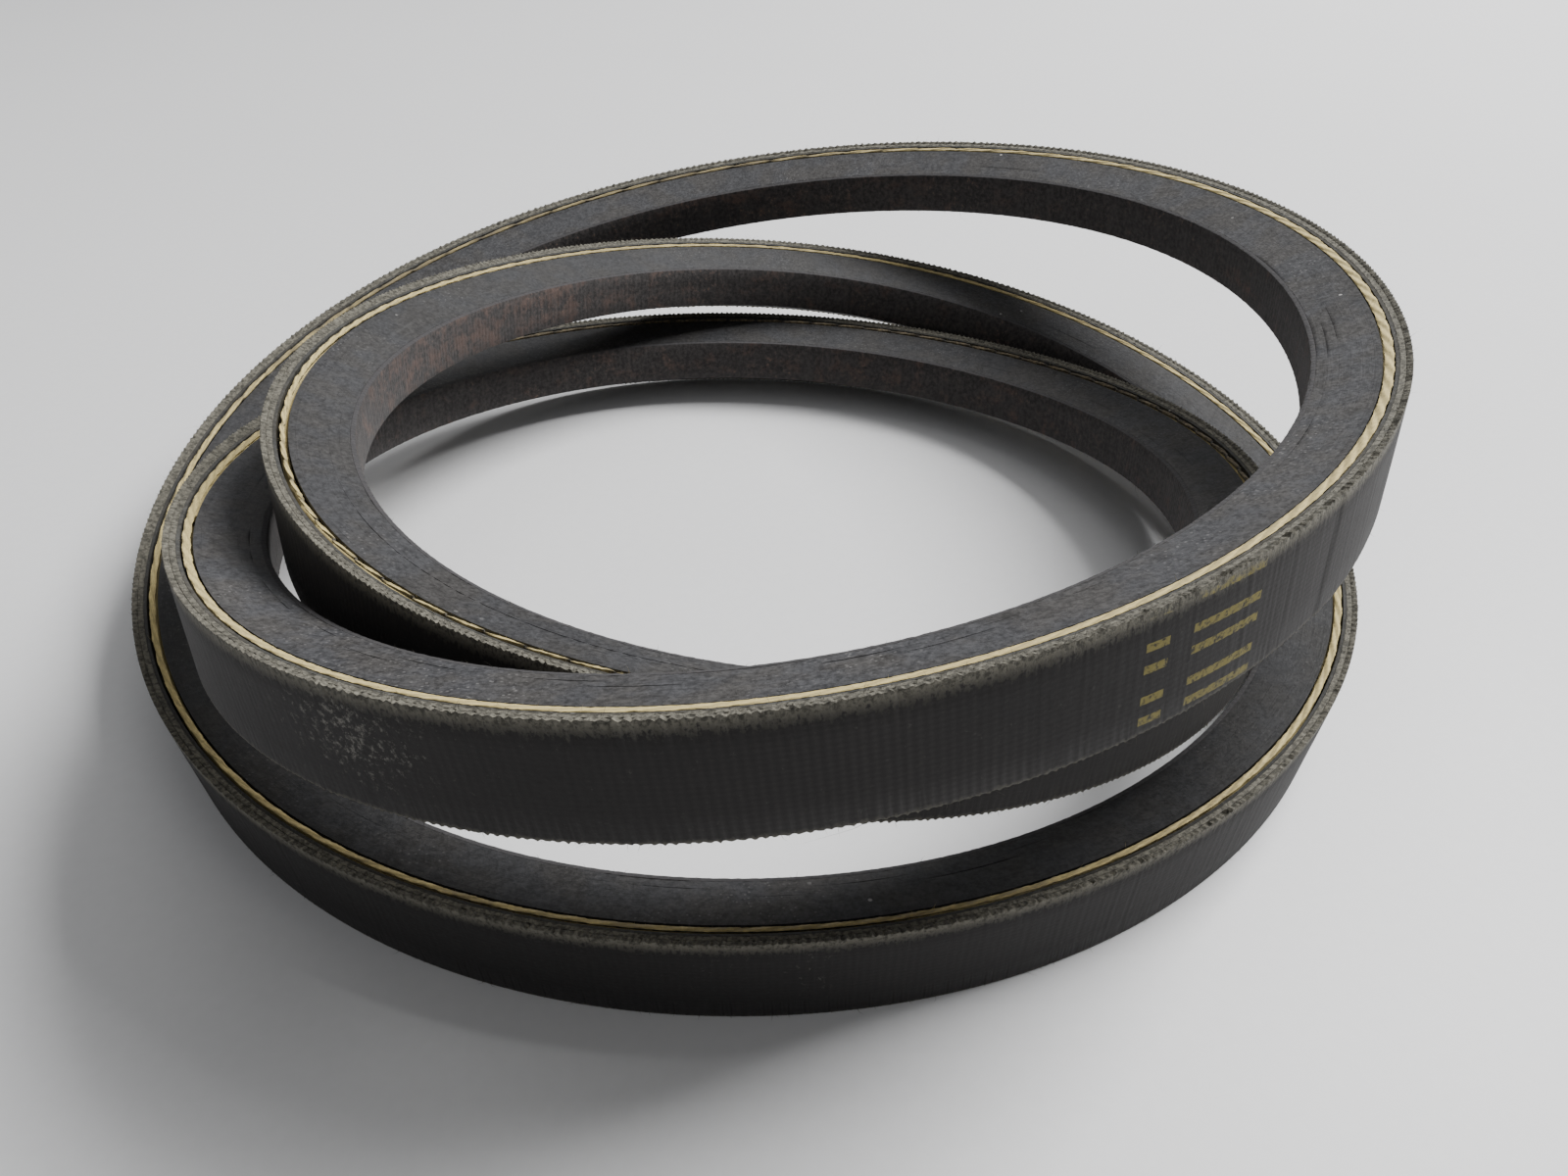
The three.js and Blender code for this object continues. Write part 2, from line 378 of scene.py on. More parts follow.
class Finish:
    """A procedural material: node() adds any node, and its sockets take numbers or links."""

    def __init__(self, name, roughness, specular=0.5, sheen=0.0):
        self.material = bpy.data.materials.new(name)
        self.material.use_nodes = True
        self.nodes = self.material.node_tree.nodes
        self.links = self.material.node_tree.links
        self.shader = self.nodes["Principled BSDF"]
        self.shader.inputs["Roughness"].default_value = roughness
        self.shader.inputs["Specular IOR Level"].default_value = specular
        self.shader.inputs["Sheen Weight"].default_value = sheen
        self.shader.inputs["Sheen Roughness"].default_value = 0.6

    def node(self, kind, settings=None, inputs=None, output=0):
        """Adds a node, sets its settings first and then its inputs, and gives one output."""
        made = self.nodes.new(kind)
        for key, value in (settings or {}).items():
            setattr(made, key, value)
        for key, value in (inputs or {}).items():
            self.put(made.inputs[key], value)
        return Socket(self, made.outputs[output])

    def put(self, socket, value):
        """Links a socket's value, or sets a number or colour on it."""
        if isinstance(value, Socket):
            self.links.new(value.link, socket)
        elif isinstance(value, (tuple, list)) and len(value) == 3 and socket.type == "RGBA":
            socket.default_value = (*value, 1.0)
        else:
            socket.default_value = value

    def mix(self, factor, first, second):
        """The first colour where the factor is 0, and the second where it is 1."""
        inputs = {0: factor, 6: first, 7: second}
        return self.node("ShaderNodeMix", {"data_type": "RGBA"}, inputs, output=2)

    def place(self):
        """The piece's Object coordinates, in metres."""
        return self.node("ShaderNodeTexCoord", output="Object")

    def belt_uv(self):
        """The share along the belt and the share round or across the section."""
        pair = self.node("ShaderNodeUVMap", {"uv_map": "belt"})
        return (self.node("ShaderNodeSeparateXYZ", {}, {0: pair}, output=0),
                self.node("ShaderNodeSeparateXYZ", {}, {0: pair}, output=1))

    def attribute(self, name):
        return self.node("ShaderNodeAttribute", {"attribute_name": name}, output="Fac")

    def noise(self, vector, scale, detail=3.0, roughness=0.55):
        inputs = {"Vector": vector, "Scale": scale, "Detail": detail, "Roughness": roughness}
        return self.node("ShaderNodeTexNoise", {}, inputs, output=0)

    def specks(self, vector, scale, size):
        """Small round specks: near the points of a Voronoi pattern."""
        distance = self.node("ShaderNodeTexVoronoi", {}, {"Vector": vector, "Scale": scale}, output=0)
        return 1.0 - distance.smooth(size * 0.5, size)

    def vector(self, x, y, z=0.0):
        return self.node("ShaderNodeCombineXYZ", {}, {0: x, 1: y, 2: z})

    def finish(self, colour, roughness=None, height=None, distance=0.0001, strength=1.0):
        """Feeds the shader and gives the finished material."""
        self.put(self.shader.inputs["Base Color"], colour)
        if roughness is not None:
            self.put(self.shader.inputs["Roughness"], roughness)
        if height is not None:
            inputs = {"Height": height, "Distance": distance, "Strength": strength}
            self.put(self.shader.inputs["Normal"], self.node("ShaderNodeBump", {}, inputs))
        return self.material


def shades(colour, factor):
    """The colour made darker or lighter by a factor."""
    return tuple(factor * part for part in colour)


def fabric_finish(name, colours, sizes, marked):
    """Rubberised weave: fine crosswise ribs with painted shade in their hollows, worn tops, dust, and
    fraying that hangs over the rim.
    """
    f = Finish(name, 0.7, specular=0.26, sheen=0.03)
    along, across = f.belt_uv()
    rim = f.attribute("rim")  # millimetres from the frayed edge
    place = f.place()
    rib = (along * (2 * math.pi * sizes.rib_count)).sine() * 0.5 + 0.5
    weft = (across * (2 * math.pi * 44)).sine() * 0.5 + 0.5
    weave = (rib * 0.7 + weft * 0.3) * f.attribute("weave")
    cloud = f.noise(place, 38.0)
    grit = f.noise(place, 2300.0, detail=4.0, roughness=0.7)
    thread = f.noise(f.vector(along * 3300.0, across * 22.0), 1.0, detail=3.0)
    worn = (cloud * 0.8 + grit * 0.6 + weave * 0.22).smooth(0.72, 1.15)
    colour = f.mix(worn * 0.7, tuple(colours.fabric), shades(colours.fabric, 2.3))
    # Painted shade in the weave's hollows: the troughs between the ribs are darkened, and the whole
    # weave a little where it is faint.
    colour = f.mix((1.0 - weave) * 0.35, colour, shades(colours.fabric, 0.5))
    scuff = (f.attribute("scuff") + f.noise(place, 55.0).smooth(0.60, 0.82) * 0.6)
    flour = f.noise(place, 1500.0, detail=5.0, roughness=0.8)
    dust = (flour + scuff * 0.13).smooth(0.60, 0.74)
    colour = f.mix(dust * (scuff * 0.6 + 0.12), colour, (0.26, 0.25, 0.22))
    if marked:
        colour = f.mix(ink_marks(f, along, across, grit, sizes.length / MM), colour, tuple(colours.ink))
    fuzz = 1.0 - (rim + (thread - 0.5) * 2.0 + (grit - 0.5) * 2.6).smooth(0.30, 1.45)
    strand = (grit * 0.65 + thread * 0.35).smooth(0.38, 0.64)
    frayed = f.mix(strand, shades(colours.fray, 0.50), shades(colours.fray, 1.9))
    colour = f.mix(fuzz, colour, frayed)
    height = weave * 0.35 + grit * 0.5 + fuzz * strand * 0.7
    return f.finish(colour, 0.6 + grit * 0.3, height, distance=0.00007, strength=0.8)


def ink_marks(f, along, across, grit, length):
    """Rows of plain worn dashes across the back: in each row a short pair and a long pair. The
    belt's length is in millimetres."""
    x = along * length - share_at(INK_START) * length
    y = (across * -4.0 + 1.0) * 5.15

    def between(value, low, high):
        return (value > low) * (1.0 - (value > high))

    row_y = f.node("ShaderNodeMath", {"operation": "WRAP"}, {0: y + 0.4 + x * 0.05, 1: 4.4, 2: 0.0})
    dashes = between(row_y, 0.5, 1.2) + between(row_y, 2.3, 3.0)
    columns = between(x, 0.0, 2.1) + between(x, 4.4, 11.6)
    return dashes * columns * (grit + 0.02).smooth(0.36, 0.56) * 0.8


def share_at(place):
    """The patterns' share along the belt at a place."""
    return (place - UV_START) % len(STATIONS) / len(STATIONS)


def rubber_finish(name, rubber):
    """Cut, fibre-loaded rubber: fine grain, faint lengthwise scratches, dull patches, dust and painted
    shade.
    """
    f = Finish(name, 0.5, specular=0.4)
    along, across = f.belt_uv()
    place = f.place()
    cloud = f.noise(place, 42.0)
    grit = f.noise(place, 2600.0, detail=4.0, roughness=0.65)
    scratch = f.noise(f.vector(along * 260.0, f.attribute("depth") * 9.0), 1.0, detail=4.0)
    fleck = f.noise(place, 900.0, detail=5.0, roughness=0.75)
    hue = f.noise(place, 210.0, detail=3.0).smooth(0.38, 0.62)
    warm = 1.06 * rubber[0], rubber[1], 0.9 * rubber[2]
    cool = 0.96 * rubber[0], rubber[1], 1.07 * rubber[2]
    tint = f.mix(hue, warm, cool)
    grain = (grit * 0.5 + fleck * 0.35 + cloud * 0.15).smooth(0.36, 0.66)
    dark = f.mix(0.62, tint, (0.004, 0.004, 0.004))
    pale = f.mix(0.14, tint, (0.30, 0.30, 0.30))
    colour = f.mix(grain, dark, pale)
    colour = f.mix(scratch.smooth(0.58, 0.74) * 0.22, colour, shades(rubber, 2.0))
    colour = f.mix((1.0 - scratch.smooth(0.28, 0.40)) * 0.35, colour, shades(rubber, 0.35))
    dust = f.specks(place, 420.0, 0.10) * f.noise(place, 95.0).smooth(0.55, 0.70)
    fine_dust = f.specks(place, 1900.0, 0.26) * f.noise(place, 80.0).smooth(0.44, 0.70)
    colour = f.mix(dust.larger(fine_dust * 0.30), colour, (0.40, 0.39, 0.38))
    # Painted shade: the flanks under other laps are darkened towards black, station by station.
    colour = f.mix(1.0 - f.attribute("unshaded"), colour, (0.004, 0.004, 0.004))
    crack = f.attribute("crack")
    colour = f.mix(crack, colour, (0.006, 0.006, 0.006))
    height = grit * 0.8 + fleck * 0.8 + scratch * 0.3 + dust
    return f.finish(colour, 0.42 + grit * 0.26 + cloud * 0.12, height, distance=0.00006, strength=0.9)


def cord_finish(name, colours):
    """Cut polyester cord: slanting twisted strands with painted shade between them, dulled to a dark
    brown station by station, and dark where a film of rubber still covers it."""
    f = Finish(name, 0.7, specular=0.3, sheen=0.1)
    along, across = f.belt_uv()
    strand = ((along * CORD_TWISTS + across * 1.6) * (2 * math.pi)).sine() * 0.5 + 0.5
    strand_gap_shade = 1.0 - strand.smooth(0.02, 0.30)
    grit = f.noise(f.place(), 2300.0, detail=4.0)
    yarn = f.noise(f.vector(along * 1500.0, across * 9.0), 1.0, detail=3.0)
    patches = f.noise(f.vector(along * 300.0, across), 1.0, detail=3.0)
    bright = f.mix(yarn.smooth(0.35, 0.65), shades(colours.cord, 0.72), tuple(colours.cord))
    # Painted shade in the grooves between the twisted strands.
    bright = f.mix(strand_gap_shade * 0.42, bright, shades(colours.cord, 0.40))
    # The station table turns the cord a duller, darker brown.
    dull_brown = f.mix(grit.smooth(0.4, 0.7), (0.085, 0.068, 0.042), (0.24, 0.19, 0.11))
    amount = (f.attribute("dulling") + (patches - 0.5) * 0.7 + (grit - 0.5) * 0.6).smooth(0.25, 0.85)
    colour = f.mix(amount, bright, dull_brown)
    colour = f.mix(f.attribute("cover"), colour, shades(colours.rubber, 0.8))
    return f.finish(colour, 0.75, strand * 1.2 + grit * 0.6, distance=0.00008)


def inner_finish(name, colours, ribs):
    """Inner face weave: crosswise ribs, with rust rubbed into it in broad blotches and spots."""
    f = Finish(name, 0.8, specular=0.3, sheen=0.05)
    along, across = f.belt_uv()
    place = f.place()
    rib = (along * (2 * math.pi * ribs)).sine() * 0.5 + 0.5
    grit = f.noise(place, 1900.0, detail=4.0, roughness=0.7)
    blotch = f.noise(f.vector(along * 330.0, across * 5.0), 1.0, detail=4.0, roughness=0.6)
    streak = f.noise(f.vector(along * 1100.0, across * 2.0), 1.0, detail=3.0)
    amount = blotch + f.attribute("rust") * 0.14 + (grit - 0.5) * 0.35 + (streak - 0.5) * 0.25
    rust = amount.smooth(0.53, 0.82)
    spots = grit.smooth(0.58, 0.70) * f.noise(place, 130.0).smooth(0.50, 0.66)
    colour = f.mix(grit.smooth(0.3, 0.7), shades(colours.inner, 0.55), shades(colours.inner, 1.6))
    colour = f.mix(streak.smooth(0.50, 0.75) * 0.35, colour, shades(colours.inner, 1.9))
    rusty = f.mix(grit, shades(colours.rust, 0.55), shades(colours.rust, 1.35))
    colour = f.mix(rust * 0.75, colour, rusty)
    colour = f.mix(spots * 0.6, colour, (0.20, 0.12, 0.08))
    cut_edge = f.mix(grit, shades(colours.rubber, 0.6), shades(colours.rubber, 1.3))
    colour = f.mix(f.attribute("cut") * 0.85, colour, cut_edge)
    return f.finish(colour, 0.7 + grit * 0.25, rib * 0.15 + grit, distance=0.00009)


def table_finish(name, colours):
    """A pale laminate table top with a faint mottle."""
    f = Finish(name, 0.42, specular=0.35)
    place = f.place()
    mottle = f.noise(place, 9.0) * 0.5 + f.noise(place, 800.0) * 0.5
    colour = f.mix(mottle, shades(colours.floor, 0.93), shades(colours.floor, 1.04))
    return f.finish(colour)


# ---- Operators ----
def layer_depths(sizes):
    """Each layer's outer and inner depth, from the back in, as the solid model has them."""
    belt_back = BACK_PLIES * sizes.back_ply + sizes.overcord_gum + sizes.cord / 2
    rest = sizes.thickness - belt_back - sizes.cord / 2 - sizes.undercord_gum - sizes.inner_fabric
    plies = sizes.compression_plies
    layers = [("back_fabric_ply_1", sizes.back_ply), ("back_fabric_ply_2", sizes.back_ply),
              ("overcord_gum", sizes.overcord_gum), ("tensile_cord", sizes.cord),
              ("undercord_gum", sizes.undercord_gum)]
    layers += [(f"compression_ply_{i + 1}", rest / plies) for i in range(plies)]
    layers += [("inner_fabric_ply", sizes.inner_fabric)]
    depths, depth = {}, belt_back
    for name, thickness in layers:
        depths[name] = (depth, depth - thickness)
        depth -= thickness
    return depths


def settings(context):
    """The sizes and colours in the scene, and the route and layer depths that follow from them."""
    sizes = context.scene.v_belt_sizes
    return sizes, context.scene.v_belt_colours, Belt(sizes), layer_depths(sizes)


def places(count):
    """Evenly spaced places right round the belt, from where the patterns' ends meet."""
    return UV_START + np.arange(count) * len(STATIONS) / count


class VBELT_OT_back_fabric(bpy.types.Operator):
    """Both fabric plies of the back, with ribs across, serrated cut edges and a lapped joint."""
    bl_idname = "vbelt.back_fabric"
    bl_label = "Back fabric"

    def execute(self, context):
        sizes, colours, belt, depths = settings(context)
        self.outer_ply(sizes, colours, belt, depths)
        self.inner_ply(sizes, colours, belt, depths)
        return {"FINISHED"}

    def outer_ply(self, sizes, colours, belt, depths):
        """s = face depth + ribs + joint step; w = share x half width + cut teeth at the edges."""
        place = places(4 * sizes.rib_count)
        outer_s, inner_s = depths["back_fabric_ply_1"]
        s, share, flank, v = section_loop(outer_s, inner_s, 7, 1, 0.05 * MM)
        tooth = np.sin(place * 2 * np.pi * sizes.rib_count / len(STATIONS))
        past_lap = (place[:, None] - LAP_START - 0.01 * share + 12) % len(STATIONS) - 12
        joint = np.clip(past_lap / 0.012, 0, 1) * np.clip((0.30 - past_lap) / 0.22, 0, 1)
        weave = 0.45 + 0.55 * bump(place, 2.9, 0.9) + 0.3 * bump(place, 11.4, 0.8)
        weave += 0.2 * bump(place, 0.2, 0.5)
        relief = weave * 0.013 * tooth + 0.008 * ripple(place, 500, 2900, 30, 3)
        relief = (relief[:, None] * (1 - 0.5 * np.abs(share)) + 0.09 * joint) * MM
        fray = np.stack([ripple(place, 900, 2900, 40, 11), ripple(place, 900, 2900, 40, 12)], 1)
        teeth = (0.085 * tooth[:, None] + 0.04 * fray[:, (share < 0) * 1] + 0.02) * MM
        depth = s + np.where(s > (outer_s + inner_s) / 2, relief, 0)
        width = share * belt.half_width(s) + np.sign(share) * np.where(flank, teeth, 0)
        rim = np.where(s > (outer_s + inner_s) / 2, (1 - np.abs(share)) * sizes.top_width / 2 / MM, 0)
        rim = np.where(share < 0, rim * 2.2 + 0.6, rim)
        scuff = bump(place, 1.38, 0.14)[:, None] * np.clip(1.1 - np.abs(share - 0.25), 0, 1)
        mesh = build_mesh("back_fabric_outer", belt.at(place, depth, width), uv=v,
                          attributes={"rim": rim, "scuff": scuff, "weave": weave[:, None]})
        material = fabric_finish("back fabric", colours, sizes, marked=True)
        add_piece("back_fabric_outer", mesh, material, ["back_fabric_ply_1"])

    def inner_ply(self, sizes, colours, belt, depths):
        """As the outer ply, at a coarser step: only its cut edges show."""
        place = places(2 * sizes.rib_count)
        outer_s, inner_s = depths["back_fabric_ply_2"]
        s, share, flank, v = section_loop(outer_s, inner_s, 4, 2, 0.03 * MM)
        teeth = np.stack([ripple(place, 400, 1450, 40, 21), ripple(place, 400, 1450, 40, 22)], 1)
        out = 0.025 * teeth[:, (share < 0) * 1] * MM * flank
        grid = belt.at(place, s, share * belt.half_width(s) + np.sign(share) * out)
        mesh = build_mesh("back_fabric_inner", grid, uv=v,
                          attributes={"rim": 0.1, "scuff": 0.0, "weave": 0.3})
        material = fabric_finish("back fabric edge", colours, sizes, marked=False)
        add_piece("back_fabric_inner", mesh, material, ["back_fabric_ply_2"])


class VBELT_OT_rubber(bpy.types.Operator):
    """The gum layers and the compression plies, cut through by the flanks in one go."""
    bl_idname = "vbelt.rubber"
    bl_label = "Rubber layers"

    def execute(self, context):
        sizes, colours, belt, depths = settings(context)
        names = [name for name in depths if "gum" in name or "compression" in name]
        fibrous = shades(colours.fray, 0.55)
        compression = rubber_finish("compression rubber", colours.rubber)
        finishes = {"overcord_gum": rubber_finish("overcord gum", fibrous),
                    "undercord_gum": rubber_finish("undercord gum", shades(colours.rubber, 0.8))}
        for index, name in enumerate(names):
            gum = "gum" in name
            mesh = self.band(name, index, belt, depths[name])
            add_piece(f"{name}_band", mesh, finishes.get(name, compression), [name])
        return {"FINISHED"}

    def gape(self, place, index):
        """How far the seam on this layer's inner side has opened: in short runs, and along most of
        the third lap's front at the fourth ply."""
        runs = np.clip(ripple(place, 8, 60, 16, 71 + index) - 0.9, 0, 0.8) * (index >= 4)
        long_run = bump(place, 17.6, 0.75) * np.clip(0.62 + 0.4 * ripple(place, 60, 700, 30, 91), 0, 1)
        front = bump(place, 1.2, 1.4) * np.clip(0.7 * ripple(place, 20, 200, 20, 95) - 0.2, 0, 0.8)
        return np.clip(0.7 * runs + long_run * (index == 4) + front * (index == 5), 0, 1)

    def band(self, name, index, belt, depth):
        """w = share x half width + the cut's waves, less a groove where the seam gapes."""
        place = places(BAND_STEPS)
        outer_s, inner_s = depth
        s, share, flank, v = section_loop(outer_s, inner_s, 3, 4, 0.004 * MM)
        out = (0.020 * cut_waves(place, s) - 0.010) * MM * flank
        by_seam = np.clip(1.3 - (s - inner_s) / (0.055 * MM), 0, 1) * flank
        crack = self.gape(place, index)[:, None] * by_seam
        out = out - 0.11 * MM * crack
        grid = belt.at(place, s, share * belt.half_width(s) + np.sign(share) * out)
        # Painted shade, station by station, for the flanks that lie under other laps.
        unshaded = between_stations(RUBBER_UNSHADED, place)[:, None]
        return build_mesh(name, grid, uv=v, attributes={"crack": crack, "depth": s / MM, "unshaded": unshaded})


class VBELT_OT_cord(bpy.types.Operator):
    """The wound cord, and its cut face along each flank."""
    bl_idname = "vbelt.cord"
    bl_label = "Tensile cord"

    def execute(self, context):
        sizes, colours, belt, depths = settings(context)
        material = cord_finish("tensile cord", colours)
        self.winding(sizes, belt, material)
        for sign, name in ((1, "cord_cut_upper"), (-1, "cord_cut_lower")):
            self.cut_face(name, sign, belt, material)
        return {"FINISHED"}

    def winding(self, sizes, belt, material):
        """A helix: w grows by one pitch each time round the belt, with a round section whose
        points are held inside the flanks."""
        radius = sizes.cord / 2 - BOND_GAP
        pitch = sizes.cord + sizes.cord_spacing
        reach = belt.half_width(0) - sizes.cord * 0.6
        steps = int(2 * reach / pitch * WINDING_STEPS)
        place = UV_START + np.arange(steps + 1) / WINDING_STEPS * len(STATIONS)
        centre = -reach + np.arange(steps + 1) / WINDING_STEPS * pitch
        angle = np.linspace(0, 2 * np.pi, 7)[:-1]
        s = np.broadcast_to(radius * np.sin(angle), (steps + 1, 6))
        w = centre[:, None] + radius * np.cos(angle)
        mesh = build_mesh("cord_winding", belt.at(place, s, w), closed_along=False,
                          attributes={"dulling": 0.2, "cover": 0.0})
        add_piece("cord_winding", mesh, material, ["tensile_cord"])

    def cut_face(self, name, sign, belt, material):
        """A low strip on the flank, bedded in the gums: its edges wander with the twist of the
        strands, and dip under the rubber where the cut only grazes the cord's crown."""
        place = places(CUT_STEPS)
        twist = np.sin(place * 2 * np.pi * CORD_TWISTS / len(STATIONS))
        phase = place * GRAZED_DASHES / len(STATIONS) % 1
        taper = np.sqrt(np.sin(np.pi * phase))
        grazed = between_stations(CORD_COVER, place)
        cover = grazed * (1 - taper)
        half = between_stations(CORD_SHOWS, place) * (1 - 0.8 * cover)
        half += 0.014 * ripple(place, 300, 2100, 40, 81)
        middle = 0.13 * grazed * (1 - 2 * phase)
        across = np.array([1.0, 0.8, 0.4, 0.0, -0.4, -0.8, -1.0, -0.6, 0.6])
        lift = np.array([-0.02, 0.03, 0.05, 0.055, 0.05, 0.03, -0.02, -0.25, -0.25])
        scallop = 0.032 * (twist * (1 - grazed))[:, None] * (np.abs(across) > 0.7)
        s = middle[:, None] + half[:, None] * across + scallop
        rise = lift + (0.012 * twist + 0.010 * ripple(place, 300, 2100, 30, 83) - 0.07 * cover)[:, None]
        s = s * MM
        w = sign * (belt.half_width(s) + np.where(lift > -0.2, rise, lift) * MM)
        grid = belt.at(place, s, w)
        grid = grid if sign < 0 else grid[:, ::-1]
        dulling = between_stations(CORD_DULLING, place)[:, None]
        film = np.clip(1.6 * cover - 0.2, 0, 1)[:, None]
        mesh = build_mesh(name, grid, attributes={"dulling": dulling, "cover": film})
        add_piece(name, mesh, material)


class VBELT_OT_inner_fabric(bpy.types.Operator):
    """The ribbed fabric ply on the inner face."""
    bl_idname = "vbelt.inner_fabric"
    bl_label = "Inner fabric"

    def execute(self, context):
        """s = face depth + ribs; w = share x half width + cut teeth at the edges."""
        sizes, colours, belt, depths = settings(context)
        place = places(INNER_STEPS)
        outer_s, inner_s = depths["inner_fabric_ply"]
        s, share, flank, v = section_loop(outer_s, inner_s, 6, 1, 0.05 * MM)
        rib = np.sin(place * 2 * np.pi * 750 / len(STATIONS)) + ripple(place, 200, 1300, 30, 91)
        relief = np.where(s < (outer_s + inner_s) / 2, -0.008 * MM * rib[:, None], 0)
        teeth = np.stack([ripple(place, 300, 1450, 40, 92), ripple(place, 300, 1450, 40, 93)], 1)
        out = (0.010 * teeth[:, (share < 0) * 1] - 0.010) * MM * flank
        grid = belt.at(place, s + relief, share * belt.half_width(s) + np.sign(share) * out)
        rust = bump(place, 15.3, 0.9) + 0.5 * bump(place, 5.9, 0.5) + 0.4 * bump(place, 21.6, 1.0)
        mesh = build_mesh("inner_fabric", grid, uv=v,
                          attributes={"rust": rust[:, None], "cut": flank * 1.0})
        material = inner_finish("inner fabric", colours, sizes.rib_count)
        add_piece("inner_fabric", mesh, material, ["inner_fabric_ply"])
        return {"FINISHED"}


class VBELT_OT_fray(bpy.types.Operator):
    """Loose fibres along the cut edges of the back fabric, the cord and the inner fabric."""
    bl_idname = "vbelt.fray"
    bl_label = "Frayed fibres"

    def execute(self, context):
        sizes, colours, belt, depths = settings(context)
        fabric = fabric_finish("frayed fibre", colours, sizes, marked=False)
        plies = depths["back_fabric_ply_2"][1], depths["back_fabric_ply_1"][0]
        inner = depths["inner_fabric_ply"]
        worn = {"rim": 0.0, "scuff": 0.0, "weave": 0.0}
        count = sizes.fray_count
        for name, side, share in (("upper", 1, 1.0), ("lower", -1, 0.6)):
            title = f"fabric_fray_{name}"
            mesh = self.fibres(title, belt, int(count * share), side, plies, 0.30 * MM, worn)
            add_piece(title, mesh, fabric)
            title = f"inner_fray_{name}"
            mesh = self.fibres(title, belt, count // 8, side, inner, 0.22 * MM, worn)
            add_piece(title, mesh, fabric)
        cord = -sizes.cord * 0.42, sizes.cord * 0.42
        worn = {"dulling": 0.4, "cover": 0.0}
        mesh = self.fibres("cord_fray", belt, count // 5, 1, cord, 0.18 * MM, worn)
        add_piece("cord_fray", mesh, cord_finish("cord fibre", colours))
        return {"FINISHED"}

    def fibres(self, name, belt, count, side, depth, length, attributes):
        """Each fibre is a tapering three-sided spike of three rings. Its middle line leaves the
        flank at a random place and depth, and bends along the belt and outward as the square of
        the way."""
        rng = np.random.default_rng(sum(map(ord, name)))
        place = rng.uniform(0, len(STATIONS), count)
        s = rng.uniform(*sorted(depth), count)
        outward, across = belt.directions(place)
        across = side * across
        along = np.cross(across, outward)
        root = belt.at(place, s, side * (belt.half_width(s) - 0.05 * MM))
        reach = length * rng.gamma(2.0, 0.5, count)[:, None]
        lean = rng.normal([0.7, 0.15, 0.0], [0.25, 0.5, 0.9], (count, 3))
        way = np.linspace(0, 1, 3)[:, None, None]
        middle = root + reach * (lean[:, :1] * across * way + lean[:, 1:2] * outward * way
                                 + lean[:, 2:] * along * way ** 2)
        thick = 0.017 * MM * (1.1 - way)
        turn = np.array([0, -2, -4]) * np.pi / 3
        rings = middle[:, :, None, :] + thick[..., None] * (
            np.cos(turn)[:, None] * along[:, None, :] + np.sin(turn)[:, None] * outward[:, None, :])
        points = rings.transpose(1, 0, 2, 3).reshape(-1, 3)
        points[:, 2] = np.maximum(points[:, 2], 0.0)
        quads = [[r * 3 + k, r * 3 + (k + 1) % 3, (r + 1) * 3 + (k + 1) % 3, (r + 1) * 3 + k]
                 for r in range(2) for k in range(3)]
        first = 9 * np.arange(count)[:, None, None]
        quads = (np.array(quads) + first).reshape(-1, 4).tolist()
        caps = (np.array([[0, 2, 1], [6, 7, 8]]) + first).reshape(-1, 3).tolist()
        mesh = bpy.data.meshes.new(name)
        mesh.from_pydata(points.tolist(), [], quads + caps)
        mesh.uv_layers.new(name="belt")
        for key, value in attributes.items():
            attribute = mesh.attributes.new(key, "FLOAT", "POINT")
            attribute.data.foreach_set("value", np.full(len(points), value, np.float32))
        mesh.update()
        return mesh


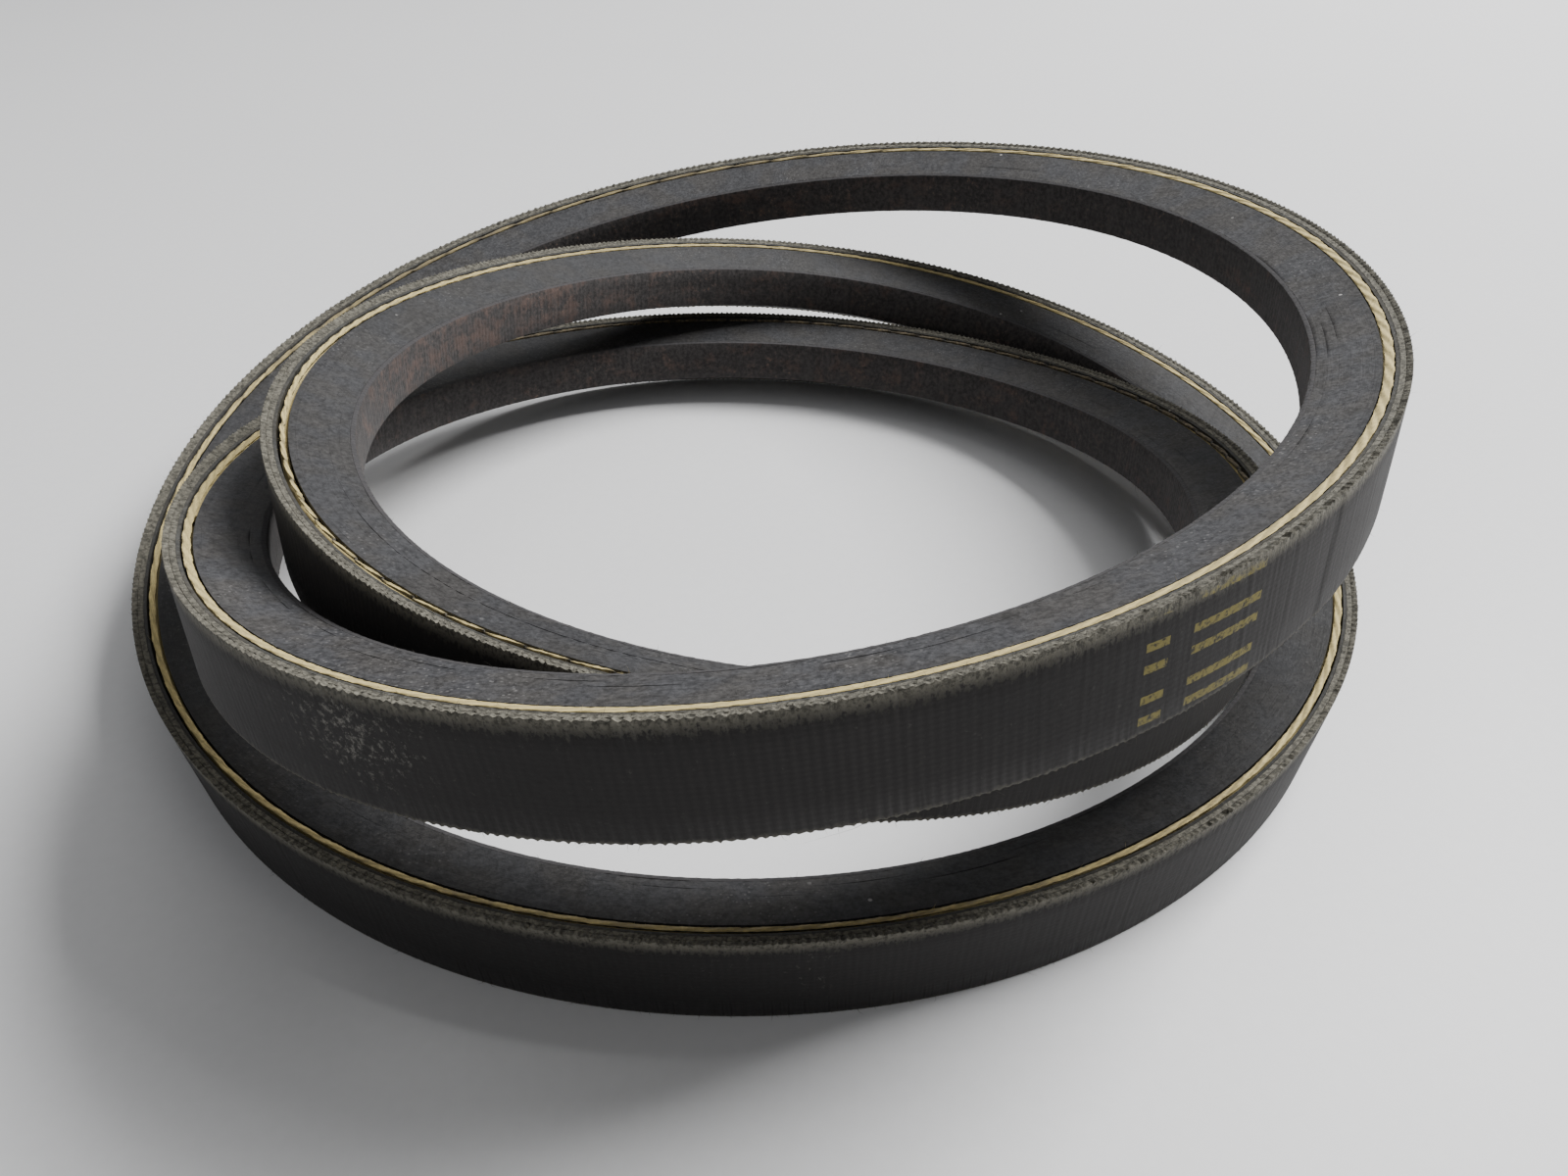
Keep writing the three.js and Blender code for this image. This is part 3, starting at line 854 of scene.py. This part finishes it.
class VBELT_OT_stage(bpy.types.Operator):
    """The table, the soft studio lights and the camera."""
    bl_idname = "vbelt.stage"
    bl_label = "Stage"

    def execute(self, context):
        colours, belt = context.scene.v_belt_colours, Belt(context.scene.v_belt_sizes)
        self.table(colours)
        self.lights(context)
        self.camera(context, belt)
        return {"FINISHED"}

    def table(self, colours):
        """A flat square, wide enough to fill the view."""
        half, top = 3.0, -0.00005
        corners = [(-half, -half, top), (half, -half, top), (half, half, top), (-half, half, top)]
        mesh = bpy.data.meshes.new("table")
        mesh.from_pydata(corners, [], [[0, 1, 2, 3]])
        mesh.materials.append(table_finish("table top", colours))
        table = bpy.data.objects.new("table", mesh)
        bpy.context.scene.collection.objects.link(table)

    def lights(self, context):
        """A large soft light to the right and behind, a softer one overhead, and a dim room."""
        world = bpy.data.worlds.new("studio")
        world.use_nodes = True
        world.node_tree.nodes["Background"].inputs["Color"].default_value = (0.97, 0.98, 1.0, 1.0)
        world.node_tree.nodes["Background"].inputs["Strength"].default_value = 0.23
        context.scene.world = world
        for name, place, power, size in (("key", (0.58, 0.34, 0.76), 18.5, 0.50),
                                         ("overhead", (0.1, 0.5, 1.0), 2.2, 0.9)):
            data = bpy.data.lights.new(name, "AREA")
            data.energy, data.size = power, size
            light = bpy.data.objects.new(name, data)
            context.scene.collection.objects.link(light)
            light.location = place
            aim = -np.array(place) / np.linalg.norm(place)
            light.rotation_euler = (math.acos(-aim[2]), 0, math.atan2(aim[0], -aim[1]) + math.pi)

    def camera(self, context, belt):
        """A close camera in front of the coil, looking down at it."""
        from_axis, pitch, roll = (0.00189, -0.10183, 0.0834), 38.55, 0.37
        data = bpy.data.cameras.new("camera")
        data.sensor_width = 36.0
        data.lens = 36.0 * 1139.2 / 1600
        data.clip_start = 0.005
        camera = bpy.data.objects.new("camera", data)
        context.scene.collection.objects.link(camera)
        camera.location = np.array(from_axis) + belt.shift
        camera.rotation_euler = (math.radians(90 - pitch), 0, 0)
        camera.rotation_euler.rotate_axis("Z", math.radians(roll))
        context.scene.camera = camera


class VBELT_PT_panel(bpy.types.Panel):
    """Lists the operators and the belt's sizes and colours."""
    bl_idname = "VBELT_PT_panel"
    bl_label = "V Belt"
    bl_space_type = "VIEW_3D"
    bl_region_type = "UI"
    bl_category = "V Belt"

    def draw(self, context):
        for operator in OPERATORS:
            self.layout.operator(operator.bl_idname)
        for group in (context.scene.v_belt_sizes, context.scene.v_belt_colours):
            for name in group.bl_rna.properties.keys():
                if name not in ("rna_type", "name"):
                    self.layout.prop(group, name)


OPERATORS = (VBELT_OT_back_fabric, VBELT_OT_rubber, VBELT_OT_cord, VBELT_OT_inner_fabric,
             VBELT_OT_fray, VBELT_OT_stage)
CLASSES = (BeltSizes, BeltColours, *OPERATORS, VBELT_PT_panel)


def register():
    for cls in CLASSES:
        bpy.utils.register_class(cls)
    bpy.types.Scene.v_belt_sizes = bpy.props.PointerProperty(type=BeltSizes)
    bpy.types.Scene.v_belt_colours = bpy.props.PointerProperty(type=BeltColours)


def unregister():
    del bpy.types.Scene.v_belt_colours
    del bpy.types.Scene.v_belt_sizes
    for cls in reversed(CLASSES):
        bpy.utils.unregister_class(cls)


def main():
    """Builds every piece and the stage."""
    register()
    bpy.ops.vbelt.back_fabric()
    bpy.ops.vbelt.rubber()
    bpy.ops.vbelt.cord()
    bpy.ops.vbelt.inner_fabric()
    bpy.ops.vbelt.fray()
    bpy.ops.vbelt.stage()


if __name__ == "__main__":
    main()
